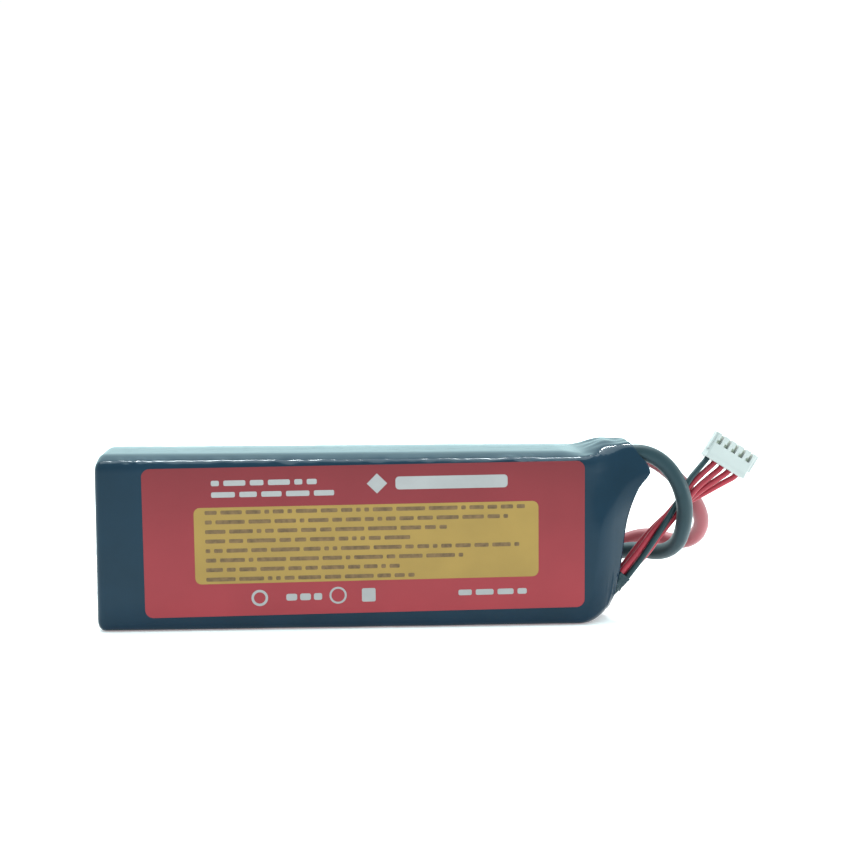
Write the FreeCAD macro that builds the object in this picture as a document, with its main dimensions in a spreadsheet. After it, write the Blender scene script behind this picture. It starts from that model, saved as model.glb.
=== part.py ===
import FreeCAD, Part
import math
import os

import Sketcher
from FreeCAD import Placement, Rotation, Vector

# A four-cell lithium polymer battery pack, in millimetres.
#
# Frame: the pack stands on its long narrow edge. X runs along its length, from the plain end to the
# end that the leads come out of, -Y is the labelled face, Z is up. The origin is the middle of the
# wrapped pack, on the surface that it stands on.

doc = FreeCAD.newDocument("battery_pack")

# ---------------------------------------------------------------- driving dimensions

DIMENSIONS = {
    # the wrapped pack
    "pack_length": 155.0,
    "pack_height": 47.5,
    "pack_thickness": 30.0,
    "film_gauge": 0.3,
    "edge_radius": 1.5,
    # where the film leaves the block and gathers round the leads
    "shoulder_x": 58.5,
    "bulge_x": 66.0,
    "bulge_top": 51.0,
    "bulge_front": 13.6,
    "bulge_back": 10.4,
    "mouth_top": 50.4,
    "mouth_front": 11.8,
    "mouth_back": 2.8,
    "corner_radius": 10.4,
    # the opening that the film's edges leave at the plain end
    "rear_window_width": 18.0,
    "rear_window_margin": 7.0,
    "rear_window_radius": 6.0,
    # the label
    "label_length": 122.0,
    "label_height": 41.4,
    "label_radius": 2.3,
    "label_gauge": 0.1,
    "label_centre_x": -3.3,
    "label_centre_z": 25.2,
    "label_tilt": 0.67,
    "back_label_drop": 1.4,
    # the block of cells
    "cell_length": 132.0,
    "cell_height": 45.0,
    "cell_thickness": 6.6,
    "cell_radius": 1.2,
    "cell_bottom": 0.9,
    "lip_length": 4.0,
    "lip_thickness": 0.9,
    "lip_height": 42.0,
    "tape_gauge": 0.5,
    "tape_length": 124.0,
    "tape_height": 40.0,
    "side_board_thickness": 0.6,
    "side_board_height": 41.0,
    "band_gauge": 0.15,
    "band_radius": 1.95,
    "band_width": 12.0,
    "rear_pad_thickness": 1.5,
    "rear_pad_width": 25.0,
    "rear_pad_height": 41.0,
    # the series board at the lead end
    "board_x": 60.6,
    "board_thickness": 1.2,
    "board_width": 23.6,
    "board_height": 44.3,
    "board_bottom": 3.0,
    "tab_width": 8.0,
    "tab_thickness": 0.2,
    "tab_fold": 2.4,
    "tab_low_z": 14.0,
    "tab_high_z": 34.0,
    "slot_width": 0.6,
    "slot_height": 9.0,
    "end_pad_gap": 0.6,
    "end_pad_centre_y": -1.5,
    "end_pad_thickness": 3.5,
    "end_pad_width": 15.0,
    "end_pad_height": 28.0,
    "end_pad_bottom": 11.5,
    "end_pad_radius": 1.0,
    # the cords
    "lead_diameter": 4.6,
    "lead_start_x": 63.0,
    "wire_diameter": 1.7,
    "wire_start_x": 62.8,
    # the balance wires' sleeve, where they leave the film
    "bundle_sleeve_length": 4.2,
    "bundle_sleeve_wide": 4.8,
    "bundle_sleeve_deep": 5.2,
    "bundle_sleeve_wall": 0.3,
    "bundle_sleeve_radius": 1.35,
    "bundle_sleeve_lean": 40.0,
    # the main connector, a two-pole bullet type
    "socket_pitch": 7.2,
    "socket_bore": 3.5,
    "socket_outside": 4.5,
    "socket_depth": 9.0,
    "socket_length": 20.0,
    "cup_outside": 5.0,
    "cup_bore": 3.8,
    "cup_depth": 3.4,
    "cup_length": 4.5,
    "plug_back_x": 42.0,
    "plug_centre_y": 25.5,
    "grip_length": 8.0,
    "grip_width": 16.0,
    "grip_height": 8.1,
    "nose_length": 8.0,
    "nose_width": 14.4,
    "nose_height": 6.7,
    "nose_chamfer": 2.4,
    "plug_radius": 1.0,
    "lead_sleeve_length": 10.0,
    "lead_sleeve_outside": 5.9,
    "lead_sleeve_inside": 5.1,
    # the balance connector, 2.5 mm between contacts
    "contact_pitch": 2.5,
    "housing_width": 13.2,
    "housing_length": 7.8,
    "housing_depth": 5.7,
    "housing_radius": 0.5,
    "rib_width": 0.65,
    "rib_setback": 0.6,
    "rib_depth": 2.4,
    "rib_length": 5.4,
    "lip_rise": 0.3,
    "lip_band": 1.1,
    "cavity_side": 1.85,
    "window_width": 0.9,
    "window_length": 3.0,
    "window_foot_width": 1.0,
    "window_foot_length": 1.0,
    "contact_side": 1.5,
    "contact_wall": 0.2,
    "contact_length": 6.2,
    "contact_crimp": 1.5,
    "contact_inset": 1.2,
}

sheet = doc.addObject("Spreadsheet::Sheet", "Sizes")
for row, (alias, value) in enumerate(DIMENSIONS.items(), start=1):
    sheet.set(f"A{row}", alias)
    sheet.set(f"B{row}", str(value))
    sheet.setAlias(f"B{row}", alias)
doc.recompute()


def size(alias):
    """The number that the sheet holds for a dimension."""
    return float(sheet.get(alias))


# Layers across the pack, counted from its middle plane towards +Y.
CELL_PITCH = "(Sizes.cell_thickness + Sizes.tape_gauge)"
BLOCK_HALF = "(2 * Sizes.cell_thickness + 1.5 * Sizes.tape_gauge)"
STACK_START = "(-Sizes.pack_length / 2 + Sizes.film_gauge + Sizes.rear_pad_thickness)"
STACK_END = f"({STACK_START} + Sizes.cell_length)"
BOARD_FACE = "(Sizes.board_x + Sizes.board_thickness)"

pieces = []


def keep(obj, label):
    """Names a finished sub-part: its label is the name of its node and of its file."""
    obj.Label = label
    pieces.append(obj)
    return obj


def bind(obj, **formulas):
    """Ties an object's properties to the sheet."""
    for name, formula in formulas.items():
        obj.setExpression(name.replace("__", "."), formula)
    return obj


def place(obj, x="0", y="0", z="0", rotation=None):
    """Puts an object at a point given by formulas, turned by a rotation."""
    if rotation is not None:
        obj.Placement = Placement(Vector(), rotation)
    for axis, formula in zip("xyz", (x, y, z)):
        if formula != "0":
            obj.setExpression(f".Placement.Base.{axis}", formula)
    return obj


# ---------------------------------------------------------------- PartDesign helpers


def new_body(name):
    return doc.addObject("PartDesign::Body", name)


def new_sketch(body, role, offset=None):
    """A sketch on one of its body's own origin planes, moved along the plane's normal."""
    plane = next(f for f in body.Origin.OriginFeatures if f.Role == role)
    sketch = body.newObject("Sketcher::SketchObject", body.Name + "_sketch")
    sketch.AttachmentSupport = [(plane, "")]
    sketch.MapMode = "FlatFace"
    if offset is not None:
        sketch.setExpression(".AttachmentOffset.Base.z", offset)
    return sketch


def tie(sketch, constraint, formula):
    """Adds a dimension to a sketch, and binds it to the sheet."""
    sketch.setExpression(f"Constraints[{sketch.addConstraint(constraint)}]", formula)


def edge_from_origin(sketch, kind, line, formula):
    """Holds a line's start at a distance from the sketch's origin, on whichever side it is drawn."""
    start = sketch.Geometry[line].StartPoint
    along = start.x if kind == "DistanceX" else start.y
    if along >= 0:
        tie(sketch, Sketcher.Constraint(kind, -1, 1, line, 1, along), formula)
    else:
        tie(sketch, Sketcher.Constraint(kind, line, 1, -1, 1, -along), f"-({formula})")


def value_of(formula):
    """A formula's number, worked out by the sheet's own engine."""
    return float(sheet.evalExpression(formula))


def rectangle(sketch, left, right, low, high, radius=None):
    """A closed rectangle between four formulas, with rounded corners if a radius is given."""
    x0, x1, y0, y1 = (value_of(f) for f in (left, right, low, high))
    r = value_of(radius) if radius else 0.0
    corners = [(x1 - r, y0 + r, -90), (x1 - r, y1 - r, 0), (x0 + r, y1 - r, 90), (x0 + r, y0 + r, 180)]
    sides = [
        (Vector(x0 + r, y0, 0), Vector(x1 - r, y0, 0)),
        (Vector(x1, y0 + r, 0), Vector(x1, y1 - r, 0)),
        (Vector(x1 - r, y1, 0), Vector(x0 + r, y1, 0)),
        (Vector(x0, y1 - r, 0), Vector(x0, y0 + r, 0)),
    ]
    first = sketch.GeometryCount
    step = 2 if radius else 1
    for side, (cx, cy, turn) in zip(sides, corners):
        sketch.addGeometry(Part.LineSegment(*side))
        if radius:
            circle = Part.Circle(Vector(cx, cy, 0), Vector(0, 0, 1), r)
            start = math.radians(turn)
            sketch.addGeometry(Part.ArcOfCircle(circle, start, start + math.pi / 2))
    count = 4 * step
    joint = "Tangent" if radius else "Coincident"
    for i in range(count):
        sketch.addConstraint(Sketcher.Constraint(joint, first + i, 2, first + (i + 1) % count, 1))
    bottom, right_side, top, left_side = (first + step * i for i in range(4))
    for line in (bottom, top):
        sketch.addConstraint(Sketcher.Constraint("Horizontal", line))
    for line in (right_side, left_side):
        sketch.addConstraint(Sketcher.Constraint("Vertical", line))
    if radius:
        for i in range(1, 4):
            sketch.addConstraint(Sketcher.Constraint("Equal", first + 1, first + 1 + 2 * i))
        tie(sketch, Sketcher.Constraint("Radius", first + 1, r), radius)
    edge_from_origin(sketch, "DistanceY", bottom, low)
    edge_from_origin(sketch, "DistanceX", right_side, right)
    edge_from_origin(sketch, "DistanceY", top, high)
    edge_from_origin(sketch, "DistanceX", left_side, left)


def polygon(sketch, points):
    """A closed outline of straight sides through fixed points."""
    count = len(points)
    for i, (x, y) in enumerate(points):
        nx, ny = points[(i + 1) % count]
        sketch.addGeometry(Part.LineSegment(Vector(x, y, 0), Vector(nx, ny, 0)))
    for i in range(count):
        sketch.addConstraint(Sketcher.Constraint("Coincident", i, 2, (i + 1) % count, 1))
        sketch.addConstraint(Sketcher.Constraint("Block", i))


def pad(body, sketch, length, reverse=False, both_ways=False):
    feature = body.newObject("PartDesign::Pad", body.Name + "_pad")
    feature.Profile = sketch
    feature.Reversed = reverse
    feature.Midplane = both_ways
    bind(feature, Length=length)
    sketch.Visibility = False
    return feature


def pocket(body, sketch, length, reverse=False, both_ways=False):
    """Cuts a pocket, and stops if it took nothing away."""
    before = body.Shape.Volume
    feature = body.newObject("PartDesign::Pocket", body.Name + "_pocket")
    feature.Profile = sketch
    feature.Reversed = reverse
    feature.Midplane = both_ways
    bind(feature, Length=length)
    doc.recompute()
    if not body.Shape.Volume < before - 1e-3:
        raise RuntimeError(f"{body.Name}: {feature.Name} cuts nothing")
    return feature


def repeat(body, feature, axis_role, length, count):
    """Repeats a feature in a row along one of the body's own axes."""
    axis = next(f for f in body.Origin.OriginFeatures if f.Role == axis_role)
    pattern = body.newObject("PartDesign::LinearPattern", body.Name + "_row")
    pattern.Originals = [feature]
    pattern.Direction = (axis, [""])
    pattern.Occurrences = count
    bind(pattern, Length=length)
    body.Tip = pattern
    doc.recompute()
    return pattern


def box(label, x, y, z, length, width, height, radius=None):
    """A block between formulas, its long edges rounded if a radius is given."""
    block = doc.addObject("Part::Box", label + "_block" if radius else label)
    bind(block, Length=length, Width=width, Height=height)
    place(block, x, y, z)
    if radius is None:
        return keep(block, label)
    doc.recompute()
    rounded = doc.addObject("Part::Fillet", label)
    rounded.Base = block
    along_x = [
        i + 1
        for i, e in enumerate(block.Shape.Edges)
        if abs(e.tangentAt(e.FirstParameter).x) > 0.99
    ]
    r = value_of(radius)
    rounded.Edges = [(i, r, r) for i in along_x]
    return keep(rounded, label)


# ---------------------------------------------------------------- the shrink film


def film_body(name, inset):
    """The film's outside, or with an inset, the space inside it: a block that gathers round the leads."""
    body = new_body(name)
    rear = f"(-Sizes.pack_length / 2 + {inset})"
    half = f"(Sizes.pack_thickness / 2 - {inset})"
    floor = inset
    roof = f"(Sizes.pack_height - {inset})"
    radius = f"(Sizes.edge_radius - {inset} / 2)"
    block = new_sketch(body, "YZ_Plane", rear)
    rectangle(block, f"-{half}", half, floor, roof, radius)
    pad(body, block, f"Sizes.shoulder_x - {rear}")
    # Sections of the neck, from the block's own outline to the slot-shaped mouth.
    past = "Sizes.film_gauge" if inset != "0" else "0"
    sections = [
        ("Sizes.shoulder_x", f"-{half}", half, floor, roof, radius),
        (
            "Sizes.bulge_x",
            f"-Sizes.bulge_front + {inset}",
            f"Sizes.bulge_back - {inset}",
            floor,
            f"Sizes.bulge_top - {inset}",
            radius,
        ),
        (
            f"Sizes.pack_length / 2 + {past}",
            f"-Sizes.mouth_front + {inset}",
            f"Sizes.mouth_back - {inset}",
            floor,
            f"Sizes.mouth_top - {inset}",
            radius,
        ),
    ]
    outlines = []
    for x, left, right, low, high, r in sections:
        outline = new_sketch(body, "YZ_Plane", x)
        rectangle(outline, left, right, low, high, r)
        outlines.append(outline)
    neck = body.newObject("PartDesign::AdditiveLoft", name + "_neck")
    neck.Profile = outlines[0]
    neck.Sections = outlines[1:]
    doc.recompute()
    return body


def side_cut(body, rim, bottom):
    """Cuts the neck to the mouth's slanting rim, seen from the side: rim is its points, from the top down."""
    outline = new_sketch(body, "XZ_Plane")
    beyond = size("pack_length") / 2 + 5
    below = bottom - 2
    path = [(beyond, rim[0][1])] + rim + [(rim[-1][0], below), (beyond, below)]
    polygon(outline, path)
    reach = "2 * Sizes.pack_thickness"
    pocket(body, outline, reach, both_ways=True)


def arc_points(centre, radius, start, end, count):
    """Points round an arc, between two angles in degrees."""
    angles = [math.radians(start + (end - start) * i / count) for i in range(count + 1)]
    return [(centre[0] + radius * math.cos(a), centre[1] + radius * math.sin(a)) for a in angles]


# The rim, from under the leads down to the balance wires, then the block's rounded bottom corner.
RIM = [(77.5, 42.2), (74.4, 39.4), (71.5, 33.0), (69.8, 26.0), (68.3, 17.0), (66.8, 11.2)]


def shrink_wrap():
    outside = film_body("film_outside", "0")
    corner = size("corner_radius")
    centre = (RIM[-1][0] - corner, corner)
    side_cut(outside, RIM + arc_points(centre, corner, 0, -90, 6), 0.0)
    inside = film_body("film_inside", "Sizes.film_gauge")
    gauge = size("film_gauge")
    # Inside, the cut stays clear of the rim, so the mouth is open, and follows the bottom corner.
    opening = [(RIM[-1][0] + 1.0, 4.7), (RIM[-1][0] - 1.3, 3.9)]
    side_cut(inside, opening + arc_points(centre, corner - gauge, -36, -90, 4), gauge)
    window = new_body("film_window")
    hole = new_sketch(window, "YZ_Plane", "-Sizes.pack_length / 2 - 1")
    half = "Sizes.rear_window_width / 2"
    margin = "Sizes.rear_window_margin"
    rectangle(hole, f"-{half}", half, margin, f"Sizes.pack_height - {margin}", "Sizes.rear_window_radius")
    pad(window, hole, "3")
    hollow = doc.addObject("Part::MultiFuse", "film_hollow")
    hollow.Shapes = [inside, window]
    wrap = doc.addObject("Part::Cut", "shrink_wrap")
    wrap.Base = outside
    wrap.Tool = hollow
    return keep(wrap, "shrink_wrap")


shrink_wrap()


def label(name, side):
    """A printed label on one large face; side is -1 for the front, +1 for the back."""
    body = new_body(name)
    outline = new_sketch(body, "XZ_Plane")
    half_length = "Sizes.label_length / 2"
    half_height = "Sizes.label_height / 2"
    rectangle(outline, f"-{half_length}", half_length, f"-{half_height}", half_height, "Sizes.label_radius")
    pad(body, outline, "Sizes.label_gauge", reverse=side > 0)
    tilt = Rotation(Vector(0, -1, 0), size("label_tilt")) if side < 0 else Rotation()
    place(
        body,
        "Sizes.label_centre_x",
        f"{side} * Sizes.pack_thickness / 2",
        "Sizes.label_centre_z" + (" - Sizes.back_label_drop" if side > 0 else ""),
        tilt,
    )
    return keep(body, name)


label("front_label", -1)
label("back_label", 1)


# ---------------------------------------------------------------- the block of cells


def cell(number):
    """A pouch cell: its body, and the thin sealed lip that its tabs come out of."""
    body = new_body(f"cell_{number}")
    main = new_sketch(body, "YZ_Plane")
    half = "Sizes.cell_thickness / 2"
    rectangle(main, f"-{half}", half, "0", "Sizes.cell_height", "Sizes.cell_radius")
    pad(body, main, "Sizes.cell_length")
    lip = new_sketch(body, "YZ_Plane", "Sizes.cell_length")
    half_lip = "Sizes.lip_thickness / 2"
    side = "(Sizes.cell_height - Sizes.lip_height) / 2"
    rectangle(lip, f"-{half_lip}", half_lip, side, f"Sizes.cell_height - {side}")
    pad(body, lip, "Sizes.lip_length")
    place(body, STACK_START, f"{number - 2.5} * {CELL_PITCH}", "Sizes.cell_bottom")
    return keep(body, f"cell_{number}")


def tab(number, positive):
    """A cell's metal tab: out through the series board, and folded flat on its outer face."""
    name = f"cell_{number}_{'positive' if positive else 'negative'}_tab"
    body = new_body(name)
    outline = new_sketch(body, "XY_Plane")
    reach = value_of(f"{BOARD_FACE} - ({STACK_END} + Sizes.lip_length)") + 0.05
    gauge = size("tab_thickness")
    # Tabs that are joined fold towards each other; the two ends of the series fold inwards.
    towards_back = number == 1 or (number != 4 and not positive)
    fold = size("tab_fold") * (1 if towards_back else -1)
    near = -gauge / 2 if towards_back else gauge / 2
    far = near + fold
    polygon(
        outline,
        [(0, near), (reach + gauge, near), (reach + gauge, far), (reach, far), (reach, -near), (0, -near)],
    )
    pad(body, outline, "Sizes.tab_width", both_ways=True)
    high = positive == (number % 2 == 1)
    place(
        body,
        f"{STACK_END} + Sizes.lip_length",
        f"{number - 2.5} * {CELL_PITCH}",
        "Sizes.tab_high_z" if high else "Sizes.tab_low_z",
    )
    return keep(body, name)


for n in range(1, 5):
    cell(n)
    tab(n, True)
    tab(n, False)

for n in range(1, 4):
    box(
        f"foam_tape_{n}",
        f"{STACK_START} + (Sizes.cell_length - Sizes.tape_length) / 2",
        f"{n - 2} * {CELL_PITCH} - Sizes.tape_gauge / 2",
        "Sizes.cell_bottom + (Sizes.cell_height - Sizes.tape_height) / 2",
        "Sizes.tape_length",
        "Sizes.tape_gauge",
        "Sizes.tape_height",
    )

for name, near_face in (
    ("front_side_board", f"-{BLOCK_HALF} - Sizes.side_board_thickness"),
    ("back_side_board", BLOCK_HALF),
):
    box(
        name,
        STACK_START,
        near_face,
        "Sizes.cell_bottom + (Sizes.cell_height - Sizes.side_board_height) / 2",
        "Sizes.cell_length",
        "Sizes.side_board_thickness",
        "Sizes.side_board_height",
    )


def band(number, x):
    """A turn of fibre tape round the block, under the film."""
    name = f"fibre_band_{number}"
    body = new_body(name)
    outline = new_sketch(body, "YZ_Plane")
    half = f"({BLOCK_HALF} + Sizes.side_board_thickness)"
    gauge = "Sizes.band_gauge"
    low = "Sizes.cell_bottom"
    high = "(Sizes.cell_bottom + Sizes.cell_height)"
    radius = "Sizes.band_radius"
    wide = f"({half} + {gauge})"
    rectangle(outline, f"-{wide}", wide, f"{low} - {gauge}", f"{high} + {gauge}", radius)
    rectangle(outline, f"-{half}", half, low, high, f"{radius} - {gauge}")
    pad(body, outline, "Sizes.band_width")
    place(body, x)
    return keep(body, name)


for n, share in enumerate((0.12, 0.46, 0.8), start=1):
    band(n, f"{STACK_START} + {share} * Sizes.cell_length")

box(
    "rear_pad",
    "-Sizes.pack_length / 2 + Sizes.film_gauge",
    "-Sizes.rear_pad_width / 2",
    "Sizes.cell_bottom + (Sizes.cell_height - Sizes.rear_pad_height) / 2",
    "Sizes.rear_pad_thickness",
    "Sizes.rear_pad_width",
    "Sizes.rear_pad_height",
    "Sizes.cell_radius",
)


# ---------------------------------------------------------------- the series board


def series_board():
    """The board that joins the tabs: a plate with a slot for each tab."""
    body = new_body("series_board")
    outline = new_sketch(body, "YZ_Plane", "Sizes.board_x")
    half = "Sizes.board_width / 2"
    rectangle(outline, f"-{half}", half, "Sizes.board_bottom", "Sizes.board_bottom + Sizes.board_height", "1")
    pad(body, outline, "Sizes.board_thickness")
    doc.recompute()
    slots = new_sketch(body, "YZ_Plane", "Sizes.board_x")
    for level in ("Sizes.tab_low_z", "Sizes.tab_high_z"):
        for n in range(1, 5):
            middle = f"{n - 2.5} * {CELL_PITCH}"
            rectangle(
                slots,
                f"{middle} - Sizes.slot_width / 2",
                f"{middle} + Sizes.slot_width / 2",
                f"{level} - Sizes.slot_height / 2",
                f"{level} + Sizes.slot_height / 2",
            )
    pocket(body, slots, "Sizes.board_thickness", reverse=True)
    return keep(body, "series_board")


series_board()

box(
    "lead_end_pad",
    f"{BOARD_FACE} + Sizes.end_pad_gap",
    "Sizes.end_pad_centre_y - Sizes.end_pad_width / 2",
    "Sizes.end_pad_bottom",
    "Sizes.end_pad_thickness",
    "Sizes.end_pad_width",
    "Sizes.end_pad_height",
    "Sizes.end_pad_radius",
)

# Where the cords are soldered, across the board and up it.
LEAD_PADS = [(-7.2, 44.8), (-1.2, 44.8)]
WIRE_PADS = [(-8.1, 5.1), (-8.1, 8.3), (-5.4, 5.1), (-6.8, 6.7), (-5.4, 8.3)]


def solder_joints():
    """The solder that holds each lead and wire to the board, one solid for each."""
    joints = []

    def joint(y, z, length, at_board, at_cord):
        cone = doc.addObject("Part::Cone", "solder")
        bind(cone, Radius1=at_board, Radius2=at_cord, Height=length)
        place(cone, BOARD_FACE, str(y), str(z), Rotation(Vector(0, 1, 0), 90))
        joints.append(cone)

    for y, z in LEAD_PADS:
        joint(y, z, f"Sizes.lead_start_x - {BOARD_FACE}", "Sizes.lead_diameter / 2", "2.0")
    for y, z in WIRE_PADS:
        joint(y, z, f"Sizes.wire_start_x - {BOARD_FACE}", "1.0", "Sizes.wire_diameter / 2 - 0.15")
    group = doc.addObject("Part::Compound", "solder_joints")
    group.Links = joints
    return keep(group, "solder_joints")


solder_joints()


# ---------------------------------------------------------------- cords


def tube(name, points, diameter):
    """A cord: straight runs joined by tangent arcs, each as large as its two runs allow."""
    route = [Vector(*p) for p in points]
    edges = []
    radii = []
    at = route[0]
    for before, corner, after in zip(route, route[1:], route[2:]):
        back = before - corner
        ahead = after - corner
        shorter = min(back.Length, ahead.Length)
        back.normalize()
        ahead.normalize()
        turn = math.pi - back.getAngle(ahead)
        radii.append(0.45 * shorter / math.tan(turn / 2))
        start = corner + back * (0.45 * shorter)
        end = corner + ahead * (0.45 * shorter)
        inward = back + ahead
        inward.normalize()
        to_centre = math.hypot(radii[-1], 0.45 * shorter)
        middle = corner + inward * (to_centre - radii[-1])
        edges.append(Part.LineSegment(at, start).toShape())
        edges.append(Part.Arc(start, middle, end).toShape())
        at = end
    edges.append(Part.LineSegment(at, route[-1]).toShape())
    path = Part.Wire(edges)
    first = route[1] - route[0]
    section = Part.Wire(Part.makeCircle(diameter / 2, route[0], first))
    solid = path.makePipeShell([section], True, True)
    expected = math.pi * diameter**2 / 4 * path.Length
    print(
        f"{name}: {path.Length:.1f} mm long, radii {min(radii):.1f} to {max(radii):.1f} mm,"
        f" least {min(radii) / diameter:.1f} diameters, volume share {solid.Volume / expected:.4f}"
    )
    print("   " + " ".join(f"{r:.1f}" for r in radii))
    if abs(solid.Volume / expected - 1) > 0.01:
        raise RuntimeError(f"{name}: the tube's volume isn't its section times its length")
    feature = doc.addObject("Part::Feature", name)
    feature.Shape = solid
    return keep(feature, name)


# The power leads: out of the top of the lead end, over, down, and back behind the pack to the plug,
# which lies on the surface. The first point is on the series board.
NEGATIVE_ROUTE = [
    (63.0, -7.2, 44.8),
    (69.6, -7.2, 47.6),
    (75.8, -7.7, 48.0),
    (81.3, -8.5, 45.2),
    (85.3, -9.2, 39.8),
    (87.5, -9.2, 33.2),
    (87.9, -6.6, 26.4),
    (87.2, -2.0, 20.0),
    (83.6, 4.4, 16.2),
    (77.8, 11.6, 16.4),
    (71.6, 17.4, 13.8),
    (64.2, 20.9, 9.0),
    (55.6, 22.0, 4.9),
    (46.5, 21.9, 4.05),
]
POSITIVE_ROUTE = [
    (63.0, -1.2, 44.8),
    (69.4, -1.2, 47.0),
    (76.3, -0.8, 46.4),
    (83.2, 0.8, 42.9),
    (89.4, 2.8, 37.2),
    (94.6, 4.6, 30.6),
    (97.4, 8.8, 24.4),
    (96.4, 14.0, 18.8),
    (91.6, 18.9, 16.6),
    (85.4, 23.4, 18.4),
    (79.4, 27.4, 16.6),
    (72.4, 29.6, 11.9),
    (64.4, 30.0, 7.4),
    (55.6, 29.4, 4.7),
    (46.5, 29.1, 4.05),
]
tube("power_lead_negative", NEGATIVE_ROUTE, size("lead_diameter"))
tube("power_lead_positive", POSITIVE_ROUTE, size("lead_diameter"))

# The balance wires: gathered by the sleeve at the bottom of the mouth, up behind the negative lead
# and in front of the positive one, and fanned out to the balance connector. Wire 1 is the common.
BALANCE_ROUTES = [
    [
        (62.8, -8.1, 5.1),
        (65.5, -8.1, 6.1),
        (68.1, -8.2, 8.3),
        (71.8, -8.2, 12.6),
        (76.5, -7.6, 18.6),
        (81.1, -6.5, 25.1),
        (85.5, -5.1, 31.4),
        (89.4, -3.8, 38.8),
        (93.5, -2.0, 42.9),
        (95.49, -1.22, 44.90),
        (96.33, -1.14, 46.26),
    ],
    [
        (62.8, -8.1, 8.3),
        (64.9, -8.1, 8.7),
        (66.8, -8.2, 10.1),
        (70.1, -8.2, 14.0),
        (75.1, -7.1, 19.7),
        (80.1, -5.0, 25.9),
        (85.7, -3.2, 31.3),
        (90.5, -2.7, 37.6),
        (95.3, -1.6, 41.8),
        (97.62, -1.22, 43.60),
        (98.46, -1.14, 44.96),
    ],
    [
        (62.8, -5.4, 5.1),
        (65.5, -5.4, 6.1),
        (68.1, -5.4, 8.3),
        (71.8, -5.4, 12.6),
        (77.4, -5.4, 17.8),
        (81.9, -5.0, 24.4),
        (87.0, -4.0, 30.1),
        (91.6, -3.4, 36.4),
        (97.1, -1.9, 40.4),
        (99.76, -1.22, 42.29),
        (100.59, -1.14, 43.65),
    ],
    [
        (62.8, -6.8, 6.7),
        (65.2, -6.8, 7.4),
        (67.4, -6.8, 9.2),
        (70.9, -6.8, 13.3),
        (75.7, -5.3, 19.3),
        (81.1, -3.5, 25.1),
        (86.9, -2.0, 30.2),
        (92.8, -2.2, 35.3),
        (98.9, -1.5, 39.2),
        (101.89, -1.22, 40.98),
        (102.73, -1.14, 42.34),
    ],
    [
        (62.8, -5.4, 8.3),
        (64.9, -5.4, 8.7),
        (66.8, -5.4, 10.1),
        (70.1, -5.4, 14.0),
        (75.0, -3.5, 19.9),
        (80.4, -1.9, 25.7),
        (86.7, -0.2, 30.4),
        (93.9, -0.6, 34.1),
        (100.8, -1.0, 38.05),
        (104.02, -1.22, 39.68),
        (104.86, -1.14, 41.04),
    ],
]
for number, route in enumerate(BALANCE_ROUTES, start=1):
    tube(f"balance_wire_{number}", route, size("wire_diameter"))


def balance_sleeve():
    """The short sleeve that gathers the balance wires where they leave the film."""
    body = new_body("balance_sleeve")
    outline = new_sketch(body, "XY_Plane")
    wide = "Sizes.bundle_sleeve_wide / 2"
    deep = "Sizes.bundle_sleeve_deep / 2"
    wall = "Sizes.bundle_sleeve_wall"
    radius = "Sizes.bundle_sleeve_radius"
    rectangle(outline, f"-{wide}", wide, f"-{deep}", deep, radius)
    rectangle(
        outline,
        f"-({wide} - {wall})",
        f"{wide} - {wall}",
        f"-({deep} - {wall})",
        f"{deep} - {wall}",
        f"{radius} - {wall}",
    )
    pad(body, outline, "Sizes.bundle_sleeve_length", both_ways=True)
    # It leans from upright towards the lead end, as the wires do there.
    lean = Rotation(Vector(0, 1, 0), size("bundle_sleeve_lean"))
    body.Placement = Placement(Vector(69.0, -6.8, 11.0), lean)
    return keep(body, "balance_sleeve")


balance_sleeve()

# ---------------------------------------------------------------- the main connector


def lead_sleeve(pole, side):
    """The shrink sleeve over a lead's soldered end."""
    name = f"lead_sleeve_{pole}"
    outer = doc.addObject("Part::Cylinder", name + "_outside")
    inner = doc.addObject("Part::Cylinder", name + "_inside")
    bind(outer, Radius="Sizes.lead_sleeve_outside / 2", Height="Sizes.lead_sleeve_length")
    bind(inner, Radius="Sizes.lead_sleeve_inside / 2", Height="Sizes.lead_sleeve_length")
    sleeve = doc.addObject("Part::Cut", name)
    sleeve.Base = outer
    sleeve.Tool = inner
    y = f"Sizes.plug_centre_y + {side} * Sizes.socket_pitch / 2"
    place(sleeve, "Sizes.plug_back_x + 0.2", y, "Sizes.grip_height / 2", Rotation(Vector(0, 1, 0), 90))
    return keep(sleeve, name)


def socket(pole, side):
    """A bullet socket, turned from one bar: a bore at the front, and a solder cup at the back."""
    name = f"socket_{pole}"
    body = new_body(name)
    half = new_sketch(body, "XZ_Plane")
    out = size("socket_outside") / 2
    bore = size("socket_bore") / 2
    cup = size("cup_outside") / 2
    cup_bore = size("cup_bore") / 2
    length = size("socket_length")
    cup_start = length - size("cup_length")
    polygon(
        half,
        [
            (0, bore),
            (size("socket_depth"), bore),
            (size("socket_depth"), 0),
            (length - size("cup_depth"), 0),
            (length - size("cup_depth"), cup_bore),
            (length, cup_bore),
            (length, cup),
            (cup_start, cup),
            (cup_start, out),
            (0, out),
        ],
    )
    turned = body.newObject("PartDesign::Revolution", name + "_turned")
    turned.Profile = half
    turned.ReferenceAxis = (next(f for f in body.Origin.OriginFeatures if f.Role == "X_Axis"), [""])
    turned.Angle = 360
    y = f"Sizes.plug_centre_y + {side} * Sizes.socket_pitch / 2"
    place(body, "Sizes.plug_back_x + Sizes.cup_length - Sizes.socket_length", y, "Sizes.grip_height / 2")
    return keep(body, name)


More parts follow.
